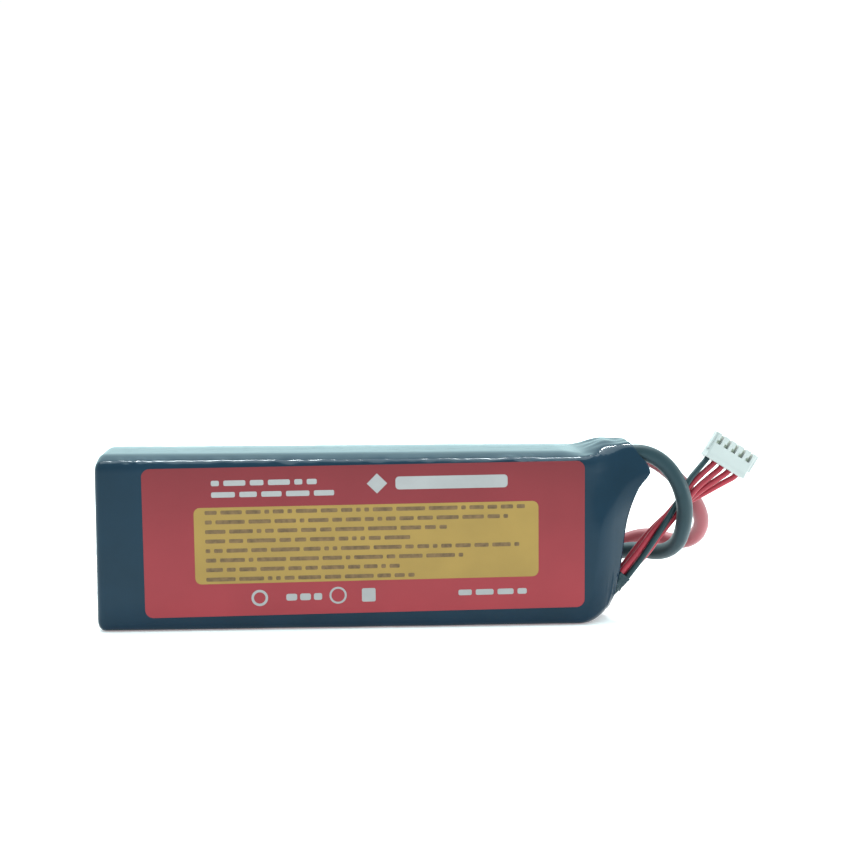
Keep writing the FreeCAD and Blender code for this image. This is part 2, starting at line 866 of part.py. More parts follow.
def power_plug():
    """The plug's moulded body: a grip, and a nose with two corners cut off so that it goes in one way."""
    name = "power_plug"
    body = new_body(name)
    grip = new_sketch(body, "YZ_Plane", "Sizes.plug_back_x - Sizes.grip_length")
    wide = "Sizes.grip_width / 2"
    centre = "Sizes.plug_centre_y"
    rectangle(grip, f"{centre} - {wide}", f"{centre} + {wide}", "0", "Sizes.grip_height", "Sizes.plug_radius")
    pad(body, grip, "Sizes.grip_length")
    nose = new_sketch(body, "YZ_Plane", "Sizes.plug_back_x - Sizes.grip_length")
    left = size("plug_centre_y") - size("nose_width") / 2
    right = size("plug_centre_y") + size("nose_width") / 2
    low = (size("grip_height") - size("nose_height")) / 2
    high = size("grip_height") - low
    cut = size("nose_chamfer")
    polygon(
        nose,
        [
            (left, low),
            (right - cut, low),
            (right, low + cut),
            (right, high - cut),
            (right - cut, high),
            (left, high),
        ],
    )
    pad(body, nose, "Sizes.nose_length", reverse=True)
    doc.recompute()
    holes = new_sketch(body, "YZ_Plane", "Sizes.plug_back_x - Sizes.grip_length")
    for side in (-1, 1):
        y = size("plug_centre_y") + side * size("socket_pitch") / 2
        across = size("socket_outside")
        centre_point = Vector(y, size("grip_height") / 2, 0)
        circle = holes.addGeometry(Part.Circle(centre_point, Vector(0, 0, 1), across / 2))
        tie(holes, Sketcher.Constraint("Diameter", circle, across), "Sizes.socket_outside")
        middle = f"Sizes.plug_centre_y + {side} * Sizes.socket_pitch / 2"
        tie(holes, Sketcher.Constraint("DistanceX", -1, 1, circle, 3, y), middle)
        height = Sketcher.Constraint("DistanceY", -1, 1, circle, 3, size("grip_height") / 2)
        tie(holes, height, "Sizes.grip_height / 2")
    pocket(body, holes, "4 * Sizes.grip_length", both_ways=True)
    return keep(body, name)


power_plug()
for pole, side in (("negative", -1), ("positive", 1)):
    socket(pole, side)
    lead_sleeve(pole, side)

# ---------------------------------------------------------------- the balance connector

# Its own frame: X along the row of contacts, Z the way it plugs in, -Y the face with the windows.
HOUSING_PLACE = Placement(
    Vector(102.0, -1.0, 45.95), Rotation(Vector(0, 1, 0), 31.5) * Rotation(Vector(1, 0, 0), -3)
)
ROW_START = "(-2 * Sizes.contact_pitch)"


def balance_housing():
    """The five-way housing: guide ribs at its sides, a window over each contact, a square hole for each."""
    name = "balance_housing"
    body = new_body(name)
    bottom = "-Sizes.housing_length / 2"
    main = new_sketch(body, "XY_Plane", bottom)
    wide = "Sizes.housing_width / 2"
    deep = "Sizes.housing_depth / 2"
    rectangle(main, f"-{wide}", wide, f"-{deep}", deep, "Sizes.housing_radius")
    pad(body, main, "Sizes.housing_length")
    ribs = new_sketch(body, "XY_Plane", "Sizes.housing_length / 2 - Sizes.rib_length")
    reach = f"{wide} + Sizes.rib_width"
    near = f"-{deep} + Sizes.rib_setback"
    rectangle(ribs, f"-({reach})", reach, near, f"{near} + Sizes.rib_depth")
    pad(body, ribs, "Sizes.rib_length")
    lip = new_sketch(body, "XY_Plane", bottom)
    rise = "Sizes.lip_rise"
    rectangle(lip, f"-{wide}", wide, f"-{deep} - {rise}", f"{deep}", "Sizes.housing_radius")
    pad(body, lip, "Sizes.lip_band")
    doc.recompute()
    hole = new_sketch(body, "XY_Plane", bottom)
    half = "Sizes.cavity_side / 2"
    rectangle(hole, f"{ROW_START} - {half}", f"{ROW_START} + {half}", f"-{half}", half)
    cavity = pocket(body, hole, "Sizes.housing_length", reverse=True)
    repeat(body, cavity, "X_Axis", "4 * Sizes.contact_pitch", 5)
    face = new_sketch(body, "XZ_Plane", deep)
    top = "Sizes.housing_length / 2"
    slot = "Sizes.window_width / 2"
    x0 = value_of(ROW_START)
    high = value_of(top) + 0.5
    low = value_of(f"{top} - Sizes.window_length")
    step = low + size("window_foot_length")
    narrow = value_of(slot)
    broad = size("window_foot_width")
    polygon(
        face,
        [
            (x0 - broad, low),
            (x0 + narrow, low),
            (x0 + narrow, high),
            (x0 - narrow, high),
            (x0 - narrow, step),
            (x0 - broad, step),
        ],
    )
    window = pocket(body, face, "Sizes.housing_depth / 2")
    repeat(body, window, "X_Axis", "4 * Sizes.contact_pitch", 5)
    body.Placement = HOUSING_PLACE
    return keep(body, name)


def balance_contacts():
    """The five crimped contacts, as square tubes inside the housing."""
    contacts = []
    for i in range(5):
        outer = doc.addObject("Part::Box", "contact_outside")
        inner = doc.addObject("Part::Box", "contact_inside")
        side = "Sizes.contact_side"
        hollow = f"{side} - 2 * Sizes.contact_wall"
        bind(outer, Length=side, Width=side, Height="Sizes.contact_length")
        bind(inner, Length=hollow, Width=hollow, Height="Sizes.contact_length - Sizes.contact_crimp")
        x = f"({i - 2}) * Sizes.contact_pitch"
        z = "-Sizes.housing_length / 2 + Sizes.contact_inset"
        place(outer, f"{x} - {side} / 2", f"-{side} / 2", z)
        place(inner, f"{x} - ({hollow}) / 2", f"-({hollow}) / 2", f"{z} + Sizes.contact_crimp")
        contact = doc.addObject("Part::Cut", "contact")
        contact.Base = outer
        contact.Tool = inner
        contacts.append(contact)
    group = doc.addObject("Part::Compound", "balance_contacts")
    group.Links = contacts
    group.Placement = HOUSING_PLACE
    return keep(group, "balance_contacts")


balance_housing()
balance_contacts()

# ---------------------------------------------------------------- writing the pieces

doc.recompute()
for obj in doc.Objects:
    if "Invalid" in obj.State or "Error" in obj.State:
        raise RuntimeError(f"{obj.Name} ({obj.Label}) failed: {obj.State}")
os.makedirs("parts", exist_ok=True)
for piece in pieces:
    shape = piece.Shape
    if shape.isNull() or not shape.isValid() or shape.Volume <= 0:
        raise RuntimeError(f"{piece.Label} has no valid solid")
    shape.exportStep(f"parts/{piece.Label}.step")
print(f"{len(pieces)} nodes written")
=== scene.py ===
import math

import bpy
from mathutils import Matrix, Vector, noise


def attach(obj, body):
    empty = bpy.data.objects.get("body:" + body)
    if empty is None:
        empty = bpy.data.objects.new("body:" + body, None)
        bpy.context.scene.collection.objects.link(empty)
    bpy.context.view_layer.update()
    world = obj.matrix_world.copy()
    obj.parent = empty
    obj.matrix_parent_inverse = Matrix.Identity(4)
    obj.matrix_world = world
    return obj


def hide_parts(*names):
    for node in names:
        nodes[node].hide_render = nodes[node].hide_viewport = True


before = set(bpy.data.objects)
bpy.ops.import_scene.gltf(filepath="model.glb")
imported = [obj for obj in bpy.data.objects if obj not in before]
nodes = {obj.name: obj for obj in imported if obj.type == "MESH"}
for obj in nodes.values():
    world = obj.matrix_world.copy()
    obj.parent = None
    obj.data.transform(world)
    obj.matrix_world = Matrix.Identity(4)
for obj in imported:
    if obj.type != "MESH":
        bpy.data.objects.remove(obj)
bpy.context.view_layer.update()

# A lithium polymer battery pack. The CAD frame holds every solid piece; this script makes the looks:
# the gathered shrink film, the label's print, the cords, the sleeves and the materials.
# Sizes are in millimetres, and become metres where a mesh or a curve is made. The lengths of the cords,
# the floor and the lights are in metres from the start.

MM = 0.001

# ---------------------------------------------------------------- camera

CAMERA_TARGET = (14.0, 0.0, 55.15)
CAMERA_DISTANCE = 420.0
CAMERA_AZIMUTH = -3.97
CAMERA_ELEVATION = 6.38
CAMERA_ROLL = 0.09
CAMERA_LENS = 62.4


def make_camera():
    azimuth = math.radians(CAMERA_AZIMUTH)
    elevation = math.radians(CAMERA_ELEVATION)
    back = Vector((
        math.sin(azimuth) * math.cos(elevation),
        -math.cos(azimuth) * math.cos(elevation),
        math.sin(elevation),
    ))
    right = (-back).cross(Vector((0, 0, 1))).normalized()
    up = back.cross(right)
    data = bpy.data.cameras.new("camera")
    data.sensor_width = 36.0
    data.lens = CAMERA_LENS
    data.clip_start = 0.01
    camera = bpy.data.objects.new("camera", data)
    turn = Matrix((right, up, back)).transposed().to_4x4()
    place = Matrix.Translation((Vector(CAMERA_TARGET) + back * CAMERA_DISTANCE) * MM)
    camera.matrix_world = place @ turn @ Matrix.Rotation(math.radians(CAMERA_ROLL), 4, "Z")
    bpy.context.scene.collection.objects.link(camera)
    bpy.context.scene.camera = camera


make_camera()

# ---------------------------------------------------------------- materials


def new_material(name):
    made = bpy.data.materials.new(name)
    made.use_nodes = True
    return made, made.node_tree.nodes["Principled BSDF"]


# Noise stays mostly between these two values, so colour and roughness are spread between them.
NOISE_LOW = 0.3
NOISE_HIGH = 0.7


def noise_node(tree, size, detail=3.0, stretch=(1.0, 1.0, 1.0)):
    """Noise whose features are about size millimetres across."""
    place = tree.nodes.new("ShaderNodeTexCoord")
    mapping = tree.nodes.new("ShaderNodeMapping")
    mapping.inputs["Scale"].default_value = stretch
    made = tree.nodes.new("ShaderNodeTexNoise")
    made.inputs["Scale"].default_value = 1 / (size * MM)
    made.inputs["Detail"].default_value = detail
    tree.links.new(place.outputs["Object"], mapping.inputs["Vector"])
    tree.links.new(mapping.outputs["Vector"], made.inputs["Vector"])
    return made


def vary_colour(tree, shader, source, dark, light):
    ramp = tree.nodes.new("ShaderNodeValToRGB")
    ramp.color_ramp.elements[0].position = NOISE_LOW
    ramp.color_ramp.elements[0].color = (*dark, 1)
    ramp.color_ramp.elements[1].position = NOISE_HIGH
    ramp.color_ramp.elements[1].color = (*light, 1)
    tree.links.new(source.outputs["Fac"], ramp.inputs["Fac"])
    tree.links.new(ramp.outputs["Color"], shader.inputs["Base Color"])


def vary_roughness(tree, shader, source, low, high):
    spread = tree.nodes.new("ShaderNodeMapRange")
    spread.inputs["From Min"].default_value = NOISE_LOW
    spread.inputs["From Max"].default_value = NOISE_HIGH
    spread.inputs["To Min"].default_value = low
    spread.inputs["To Max"].default_value = high
    tree.links.new(source.outputs["Fac"], spread.inputs["Value"])
    tree.links.new(spread.outputs["Result"], shader.inputs["Roughness"])


def add_bump(tree, shader, source, depth):
    bump = tree.nodes.new("ShaderNodeBump")
    bump.inputs["Distance"].default_value = depth * MM
    tree.links.new(source.outputs["Fac"], bump.inputs["Height"])
    tree.links.new(bump.outputs["Normal"], shader.inputs["Normal"])


def plastic(name, colour, spread=0.12, rough=(0.3, 0.45), grain=0.5, depth=0.01, level=0.5, mottle=6.0,
            stretch=(1.0, 1.0, 1.0), metallic=0.0, sheen=0.0, tint=None, scatter=0.0):
    """A surface whose colour drifts over mottle millimetres, with a fine grain."""
    made, shader = new_material(name)
    tree = made.node_tree
    broad = noise_node(tree, mottle)
    fine = noise_node(tree, grain, 4.0, stretch)
    dark = [c * (1 - spread) for c in colour]
    light = [min(1.0, c * (1 + spread)) for c in colour]
    vary_colour(tree, shader, broad, dark, light)
    vary_roughness(tree, shader, fine, *rough)
    add_bump(tree, shader, fine, depth)
    shader.inputs["Specular IOR Level"].default_value = level
    shader.inputs["Metallic"].default_value = metallic
    if sheen:
        shader.inputs["Sheen Weight"].default_value = sheen
        shader.inputs["Sheen Roughness"].default_value = 0.5
    if tint:
        shader.inputs["Specular Tint"].default_value = (*tint, 1)
    if scatter:
        shader.inputs["Subsurface Weight"].default_value = scatter
        shader.inputs["Subsurface Radius"].default_value = (1, 1, 1)
        shader.inputs["Subsurface Scale"].default_value = 0.6 * MM
    return made


def paint_shade_upwards(look, low, high):
    """Scales a surface's colour from its bottom edge to its top edge, as painted shade."""
    tree = look.node_tree
    shader = tree.nodes["Principled BSDF"]
    place = tree.nodes.new("ShaderNodeTexCoord")
    split = tree.nodes.new("ShaderNodeSeparateXYZ")
    share = tree.nodes.new("ShaderNodeMapRange")
    share.inputs["To Min"].default_value = low
    share.inputs["To Max"].default_value = high
    scaled = tree.nodes.new("ShaderNodeVectorMath")
    scaled.operation = "SCALE"
    tree.links.new(place.outputs["Generated"], split.inputs["Vector"])
    tree.links.new(split.outputs["Z"], share.inputs["Value"])
    tree.links.new(share.outputs["Result"], scaled.inputs["Scale"])
    tree.links.new(shader.inputs["Base Color"].links[0].from_socket, scaled.inputs[0])
    tree.links.new(scaled.outputs["Vector"], shader.inputs["Base Color"])


# The tint of the reflections on the dark and the printed film.
CYAN = (0.72, 0.96, 1.0)
film_look = plastic("film", (0.0045, 0.015, 0.031), rough=(0.08, 0.17), grain=2.6, depth=0.02, level=0.22,
                    mottle=14.0, tint=CYAN)
label_look = plastic("label_red", (0.274, 0.027, 0.034), spread=0.06, rough=(0.3, 0.42), grain=0.35,
                     depth=0.004, level=0.22, mottle=22.0, tint=CYAN)
# Painted shade: the label is made deeper in colour towards its top edge, where less light falls on it.
paint_shade_upwards(label_look, 1.06, 0.6)
panel_look = plastic("print_yellow", (0.29, 0.166, 0.036), spread=0.06, rough=(0.34, 0.46), grain=0.35,
                     depth=0.003, level=0.3, mottle=12.0)
ink_look = plastic("print_dark", (0.135, 0.072, 0.028), spread=0.3, rough=(0.4, 0.5), grain=0.3,
                   depth=0.002, level=0.3, mottle=1.5)
white_look = plastic("print_white", (0.31, 0.28, 0.28), spread=0.05, rough=(0.35, 0.45), grain=0.3,
                     depth=0.002, level=0.3, mottle=6.0)
black_lead_look = plastic("lead_black", (0.007, 0.018, 0.025), spread=0.2, rough=(0.38, 0.52), grain=0.6,
                          depth=0.012, level=0.35, mottle=9.0, sheen=0.16, tint=CYAN)
red_lead_look = plastic("lead_red", (0.27, 0.044, 0.056), spread=0.12, rough=(0.36, 0.5), grain=0.6,
                        depth=0.012, level=0.35, mottle=9.0, sheen=0.25, scatter=0.1)
black_wire_look = plastic("wire_black", (0.01, 0.02, 0.025), spread=0.2, rough=(0.34, 0.46), grain=0.4,
                          depth=0.006, level=0.4, mottle=6.0, tint=CYAN)
red_wire_look = plastic("wire_red", (0.31, 0.016, 0.031), spread=0.12, rough=(0.32, 0.44), grain=0.4,
                        depth=0.006, level=0.35, mottle=6.0, scatter=0.1)
black_sleeve_look = plastic("sleeve_black", (0.008, 0.016, 0.023), spread=0.2, rough=(0.16, 0.28),
                            grain=0.9, depth=0.03, level=0.45, mottle=4.0, tint=CYAN)
red_sleeve_look = plastic("sleeve_red", (0.33, 0.091, 0.11), spread=0.12, rough=(0.24, 0.36), grain=0.9,
                          depth=0.03, level=0.5, mottle=4.0)
housing_look = plastic("housing", (0.43, 0.42, 0.41), spread=0.04, rough=(0.34, 0.46), grain=0.35,
                       depth=0.006, level=0.4, mottle=5.0, scatter=0.2)
plug_look = plastic("plug_yellow", (0.6, 0.26, 0.018), spread=0.07, rough=(0.3, 0.42), grain=0.3,
                    depth=0.008, level=0.45, mottle=6.0, scatter=0.12)
foam_look = plastic("foam_black", (0.02, 0.022, 0.025), spread=0.4, rough=(0.8, 0.95), grain=0.7,
                    depth=0.15, level=0.2, mottle=2.0)
white_foam_look = plastic("foam_white", (0.55, 0.42, 0.39), spread=0.1, rough=(0.8, 0.95), grain=0.7,
                          depth=0.12, level=0.2, mottle=3.0)
board_look = plastic("laminate", (0.035, 0.031, 0.031), spread=0.3, rough=(0.4, 0.55), grain=0.5,
                     depth=0.02, level=0.4, mottle=3.0, stretch=(0.3, 1, 1))
circuit_look = plastic("circuit_green", (0.03, 0.091, 0.053), spread=0.15, rough=(0.25, 0.38), grain=0.5,
                       depth=0.008, level=0.5, mottle=4.0)
tape_look = plastic("fibre_tape", (0.52, 0.36, 0.25), spread=0.2, rough=(0.35, 0.5), grain=0.5, depth=0.03,
                    level=0.4, mottle=2.0, stretch=(1, 0.1, 0.1))
pouch_look = plastic("pouch_foil", (0.6, 0.5, 0.48), spread=0.06, rough=(0.35, 0.5), grain=2.0, depth=0.05,
                     metallic=0.9, mottle=8.0)
aluminium_look = plastic("aluminium", (0.72, 0.59, 0.6), spread=0.05, rough=(0.25, 0.4), grain=0.3,
                         depth=0.006, metallic=1.0, mottle=2.0, stretch=(0.2, 1, 1))
nickel_look = plastic("nickel", (0.58, 0.46, 0.42), spread=0.08, rough=(0.25, 0.4), grain=0.3,
                      depth=0.006, metallic=1.0, mottle=2.0, stretch=(0.2, 1, 1))
solder_look = plastic("solder", (0.6, 0.49, 0.49), spread=0.1, rough=(0.2, 0.35), grain=0.6, depth=0.02,
                      metallic=1.0, mottle=1.5)
tin_look = plastic("tin_plate", (0.66, 0.66, 0.54), spread=0.06, rough=(0.4, 0.55), grain=0.3, depth=0.006,
                   metallic=0.4, mottle=2.0)
gold_look = plastic("gold_plate", (0.85, 0.5, 0.17), spread=0.06, rough=(0.16, 0.28), grain=0.4, depth=0.004,
                    metallic=1.0, mottle=2.0)

# ---------------------------------------------------------------- cords

NEGATIVE_ROUTE = [
    (63.0, -7.2, 44.8),
    (69.6, -7.2, 47.6),
    (75.8, -7.7, 48.0),
    (81.3, -8.5, 45.2),
    (85.3, -9.2, 39.8),
    (87.5, -9.2, 33.2),
    (87.9, -6.6, 26.4),
    (87.2, -2.0, 20.0),
    (83.6, 4.4, 16.2),
    (77.8, 11.6, 16.4),
    (71.6, 17.4, 13.8),
    (64.2, 20.9, 9.0),
    (55.6, 22.0, 4.9),
    (46.5, 21.9, 4.05),
]
POSITIVE_ROUTE = [
    (63.0, -1.2, 44.8),
    (69.4, -1.2, 47.0),
    (76.3, -0.8, 46.4),
    (83.2, 0.8, 42.9),
    (89.4, 2.8, 37.2),
    (94.6, 4.6, 30.6),
    (97.4, 8.8, 24.4),
    (96.4, 14.0, 18.8),
    (91.6, 18.9, 16.6),
    (85.4, 23.4, 18.4),
    (79.4, 27.4, 16.6),
    (72.4, 29.6, 11.9),
    (64.4, 30.0, 7.4),
    (55.6, 29.4, 4.7),
    (46.5, 29.1, 4.05),
]
BALANCE_ROUTES = [
    [
        (62.8, -8.1, 5.1),
        (65.5, -8.1, 6.1),
        (68.1, -8.2, 8.3),
        (71.8, -8.2, 12.6),
        (76.5, -7.6, 18.6),
        (81.1, -6.5, 25.1),
        (85.5, -5.1, 31.4),
        (89.4, -3.8, 38.8),
        (93.5, -2.0, 42.9),
        (95.49, -1.22, 44.90),
        (96.33, -1.14, 46.26),
    ],
    [
        (62.8, -8.1, 8.3),
        (64.9, -8.1, 8.7),
        (66.8, -8.2, 10.1),
        (70.1, -8.2, 14.0),
        (75.1, -7.1, 19.7),
        (80.1, -5.0, 25.9),
        (85.7, -3.2, 31.3),
        (90.5, -2.7, 37.6),
        (95.3, -1.6, 41.8),
        (97.62, -1.22, 43.60),
        (98.46, -1.14, 44.96),
    ],
    [
        (62.8, -5.4, 5.1),
        (65.5, -5.4, 6.1),
        (68.1, -5.4, 8.3),
        (71.8, -5.4, 12.6),
        (77.4, -5.4, 17.8),
        (81.9, -5.0, 24.4),
        (87.0, -4.0, 30.1),
        (91.6, -3.4, 36.4),
        (97.1, -1.9, 40.4),
        (99.76, -1.22, 42.29),
        (100.59, -1.14, 43.65),
    ],
    [
        (62.8, -6.8, 6.7),
        (65.2, -6.8, 7.4),
        (67.4, -6.8, 9.2),
        (70.9, -6.8, 13.3),
        (75.7, -5.3, 19.3),
        (81.1, -3.5, 25.1),
        (86.9, -2.0, 30.2),
        (92.8, -2.2, 35.3),
        (98.9, -1.5, 39.2),
        (101.89, -1.22, 40.98),
        (102.73, -1.14, 42.34),
    ],
    [
        (62.8, -5.4, 8.3),
        (64.9, -5.4, 8.7),
        (66.8, -5.4, 10.1),
        (70.1, -5.4, 14.0),
        (75.0, -3.5, 19.9),
        (80.4, -1.9, 25.7),
        (86.7, -0.2, 30.4),
        (93.9, -0.6, 34.1),
        (100.8, -1.0, 38.05),
        (104.02, -1.22, 39.68),
        (104.86, -1.14, 41.04),
    ],
]
LEAD_DIAMETER = 4.6
WIRE_DIAMETER = 1.7
# Lengths along the routes, in metres.
NEGATIVE_LENGTH = 0.1020
POSITIVE_LENGTH = 0.1121
WIRE_LENGTHS = (0.0544, 0.0523, 0.0549, 0.0546, 0.0547)


def cord_curve(name, route, diameter, look):
    """A smooth cord: one open NURBS spline whose control points are the route."""
    data = bpy.data.curves.new(name, "CURVE")
    data.dimensions = "3D"
    data.resolution_u = 14
    data.bevel_depth = diameter / 2 * MM
    data.bevel_resolution = 7
    data.use_fill_caps = True
    spline = data.splines.new("NURBS")
    spline.points.add(len(route) - 1)
    for point, (x, y, z) in zip(spline.points, route):
        point.co = (x * MM, y * MM, z * MM, 1)
    spline.order_u = 3
    spline.use_endpoint_u = True
    data.materials.append(look)
    piece = bpy.data.objects.new(name, data)
    bpy.context.scene.collection.objects.link(piece)
    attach(piece, "root")
    return piece


def metres(point):
    return tuple(c * MM for c in point)


def make_cords():
    leads = [
        ("negative", NEGATIVE_ROUTE, NEGATIVE_LENGTH, black_lead_look, "lead_black"),
        ("positive", POSITIVE_ROUTE, POSITIVE_LENGTH, red_lead_look, "lead_red"),
    ]
    for pole, route, length, look, slot in leads:
        lead = cord_curve(f"{pole}_lead", route, LEAD_DIAMETER, look)
        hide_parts(f"power_lead_{pole}")
    for number, (route, length) in enumerate(zip(BALANCE_ROUTES, WIRE_LENGTHS), start=1):
        look, slot = (black_wire_look, "wire_black") if number == 1 else (red_wire_look, "wire_red")
        wire = cord_curve(f"wire_{number}", route, WIRE_DIAMETER, look)
        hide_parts(f"balance_wire_{number}")


make_cords()

# ---------------------------------------------------------------- mesh helpers


def smoothstep(t):
    t = max(0.0, min(1.0, t))
    return t * t * (3 - 2 * t)


def along(table, x):
    """Reads a table of (x, value) as a smooth curve through its points."""
    if x <= table[0][0]:
        return table[0][1]
    if x >= table[-1][0]:
        return table[-1][1]
    last = len(table) - 1
    i = max(k for k in range(last) if table[k][0] <= x)
    slopes = []
    for k in (i, i + 1):
        (x0, v0), (x1, v1) = table[max(k - 1, 0)], table[min(k + 1, last)]
        slopes.append((v1 - v0) / (x1 - x0))
    (x0, v0), (x1, v1) = table[i], table[i + 1]
    run = x1 - x0
    t = (x - x0) / run
    lift = t * (1 - t) * ((1 - t) * slopes[0] - t * slopes[1]) * run
    return v0 + (v1 - v0) * smoothstep(t) + lift


def hump(x, middle, reach):
    """One at the middle, falling smoothly to nothing at the reach."""
    return smoothstep(1 - abs(x - middle) / reach)


def mix(a, b, share):
    return a + (b - a) * share


def mesh_piece(name, points, faces, look, smooth=True):
    """A mesh in metres from points in millimetres, riding on the pack."""
    mesh = bpy.data.meshes.new(name)
    mesh.from_pydata([metres(p) for p in points], [], faces)
    mesh.materials.append(look)
    for polygon in mesh.polygons:
        polygon.use_smooth = smooth
    mesh.validate()
    made = bpy.data.objects.new(name, mesh)
    bpy.context.scene.collection.objects.link(made)
    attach(made, "root")
    return made


def skin(rings):
    """The points and faces of a tube through equal rings."""
    points = [p for ring in rings for p in ring]
    count = len(rings[0])
    faces = []
    for i in range(len(rings) - 1):
        for j in range(count):
            k = (j + 1) % count
            faces.append((i * count + j, i * count + k, (i + 1) * count + k, (i + 1) * count + j))
    return points, faces


def ripple(x, y, z, size, seed=0.0):
    """Smooth noise from -1 to 1, with features about size millimetres across."""
    return noise.noise(Vector((x / size + seed, y / size - seed, z / size + 2 * seed)))


# ---------------------------------------------------------------- the shrink film

REAR = -77.5
HALF_THICK = 15.0
HEIGHT = 47.5
MIDDLE = HEIGHT / 2
FILM_WALL = 0.22
# The plain end: how far the film lies inside the pack's end, the radius of its edge, and its opening.
REAR_INSET = 0.15
REAR_EDGE = 2.2
REAR_OPENING = {"left": -9.0, "right": 9.0, "low": 7.0, "high": HEIGHT - 7.0, "radius": 6.0}
PLEATS = 18
# Where the block ends and the neck begins, and how far on the section is wholly that of the mouth.
SHOULDER = 56.0
MOUTH_BLEND = 11.0
# The neck, along X: its front wall low down and at the top, its back wall, the ridge along the front of
# its roof, and the roof's height behind that.
NECK_FRONT = [(50.0, 15.0), (56.0, 15.0), (62.0, 14.9), (68.0, 14.1), (77.5, 11.8)]
NECK_FRONT_TOP = [(50.0, 15.0), (56.0, 15.0), (60.0, 13.9), (66.0, 11.0), (70.0, 10.2), (77.5, 10.6)]
NECK_BACK = [(50.0, 15.0), (56.0, 15.0), (61.0, 13.6), (67.0, 9.8), (77.5, 3.2)]
NECK_RIDGE = [
    (50.0, 47.5), (56.0, 47.5), (61.0, 47.9), (66.7, 49.4), (70.0, 50.6), (73.0, 50.8), (77.5, 50.3),
]
NECK_ROOF = [
    (50.0, 47.5), (57.5, 47.7), (61.5, 49.2), (65.0, 50.5), (68.5, 50.5), (72.0, 50.8), (77.5, 50.4),
]
# The walls roll inwards towards the low part of the rim.
ROLL_LENGTH = 9.0
ROLL_FRONT = 4.6
ROLL_BACK = 1.5
# The rounded low corner at the lead end: where it starts, its radius, and how much of its arc is used.
CORNER_START = 59.0
CORNER_RADIUS = 9.4
CORNER_SHARE = 0.86
# The rim of the mouth: how far along X it lies at each share of the height.
RIM = [
    (0.0, 66.9), (0.09, 68.2), (0.16, 68.8), (0.28, 69.6), (0.47, 70.6), (0.59, 71.7), (0.69, 73.0),
    (0.76, 74.3), (0.81, 75.9), (0.85, 77.0), (0.92, 75.8), (1.0, 71.6),
]
# The back of the rim lies behind the front of it, below the leads.
RIM_SETBACK = 4.5
# Where the front top edge is puckered: the middle and the reach along X.
PUCKERS = [(-65.0, 9.0), (41.0, 12.0), (63.0, 6.5)]
# The top of the block rises over the nominal height, and slopes down to its edges. The shares across are
# where the front slope ends and where the back one begins. Towards the neck the rise fades out.
TOP_RISE = 0.9
TOP_FRONT_SHARE = 0.25
TOP_FRONT_DROP = 1.65
TOP_BACK_SHARE = 0.62
TOP_BACK_DROP = 0.6
TOP_FADE_START = 52.0
TOP_FADE_LENGTH = 9.0
# How high the creases stand: in the puckers, along the front top edge, along the other edges, on the roof
# of the neck and low at the mouth. The swell is the slow unevenness of the whole film.
PUCKER_HEIGHT = 0.75
FRONT_CREASE = 0.3
EDGE_CREASE = 0.12
NECK_CREASE = 0.3
MOUTH_CREASE = 0.9
SWELL = 0.07
# How the film is divided: rings over the plain end, round its edge, along the block and over the neck,
# and points along the tall and the narrow sides and round each corner of a ring.
END_RINGS = 16
EDGE_RINGS = 7
RING_STEP = 0.5
NECK_RINGS = 46
TALL_PARTS = 26
NARROW_PARTS = 16
CORNER_PARTS = 9


def rounded_outline(left, right, low, high, radius):
    """Points round a rounded rectangle in Y and Z, from the top of its front side over the top."""
    points = []
    centres = [(left + radius, high - radius, 180), (right - radius, high - radius, 90)]
    centres += [(right - radius, low + radius, 0), (left + radius, low + radius, -90)]
    corners = []
    for cy, cz, start in centres:
        arc = []
        for i in range(CORNER_PARTS + 1):
            a = math.radians(start - 90 * i / CORNER_PARTS)
            arc.append((cy + radius * math.cos(a), cz + radius * math.sin(a)))
        corners.append(arc)
    for i, arc in enumerate(corners):
        points += arc
        (from_y, from_z), (to_y, to_z) = arc[-1], corners[(i + 1) % 4][0]
        count = NARROW_PARTS if i % 2 == 0 else TALL_PARTS
        for k in range(1, count):
            points.append((mix(from_y, to_y, k / count), mix(from_z, to_z, k / count)))
    return points


BLOCK = rounded_outline(-HALF_THICK, HALF_THICK, 0.0, HEIGHT, 2.0)
# Each point's place across and up the section, for the block and for the rounder mouth.
BLOCK_SHARES = [((y + HALF_THICK) / (2 * HALF_THICK), z / HEIGHT) for y, z in BLOCK]
MOUTH_WIDTH = 14.0
MOUTH = rounded_outline(0.0, MOUTH_WIDTH, 0.0, HEIGHT, 3.6)
MOUTH_SHARES = [(y / MOUTH_WIDTH, z / HEIGHT) for y, z in MOUTH]


def corner_floor(x):
    """The bottom of the film, which turns up at the lead end."""
    reach = min(max(x - CORNER_START, 0.0), CORNER_RADIUS * CORNER_SHARE)
    return CORNER_RADIUS - math.sqrt(CORNER_RADIUS**2 - reach**2)


def top_profile(across):
    """How far the top of the block stands above its nominal height."""
    front = max(0.0, 1 - across / TOP_FRONT_SHARE)
    back = max(0.0, (across - TOP_BACK_SHARE) / (1 - TOP_BACK_SHARE))
    return TOP_RISE - TOP_FRONT_DROP * front**1.3 - TOP_BACK_DROP * back**2


def rim_at(across, up):
    """How far along X the mouth's rim lies."""
    below_leads = 1 - smoothstep((up - 0.66) / 0.2)
    return along(RIM, up) - RIM_SETBACK * smoothstep((across - 0.35) / 0.5) * below_leads


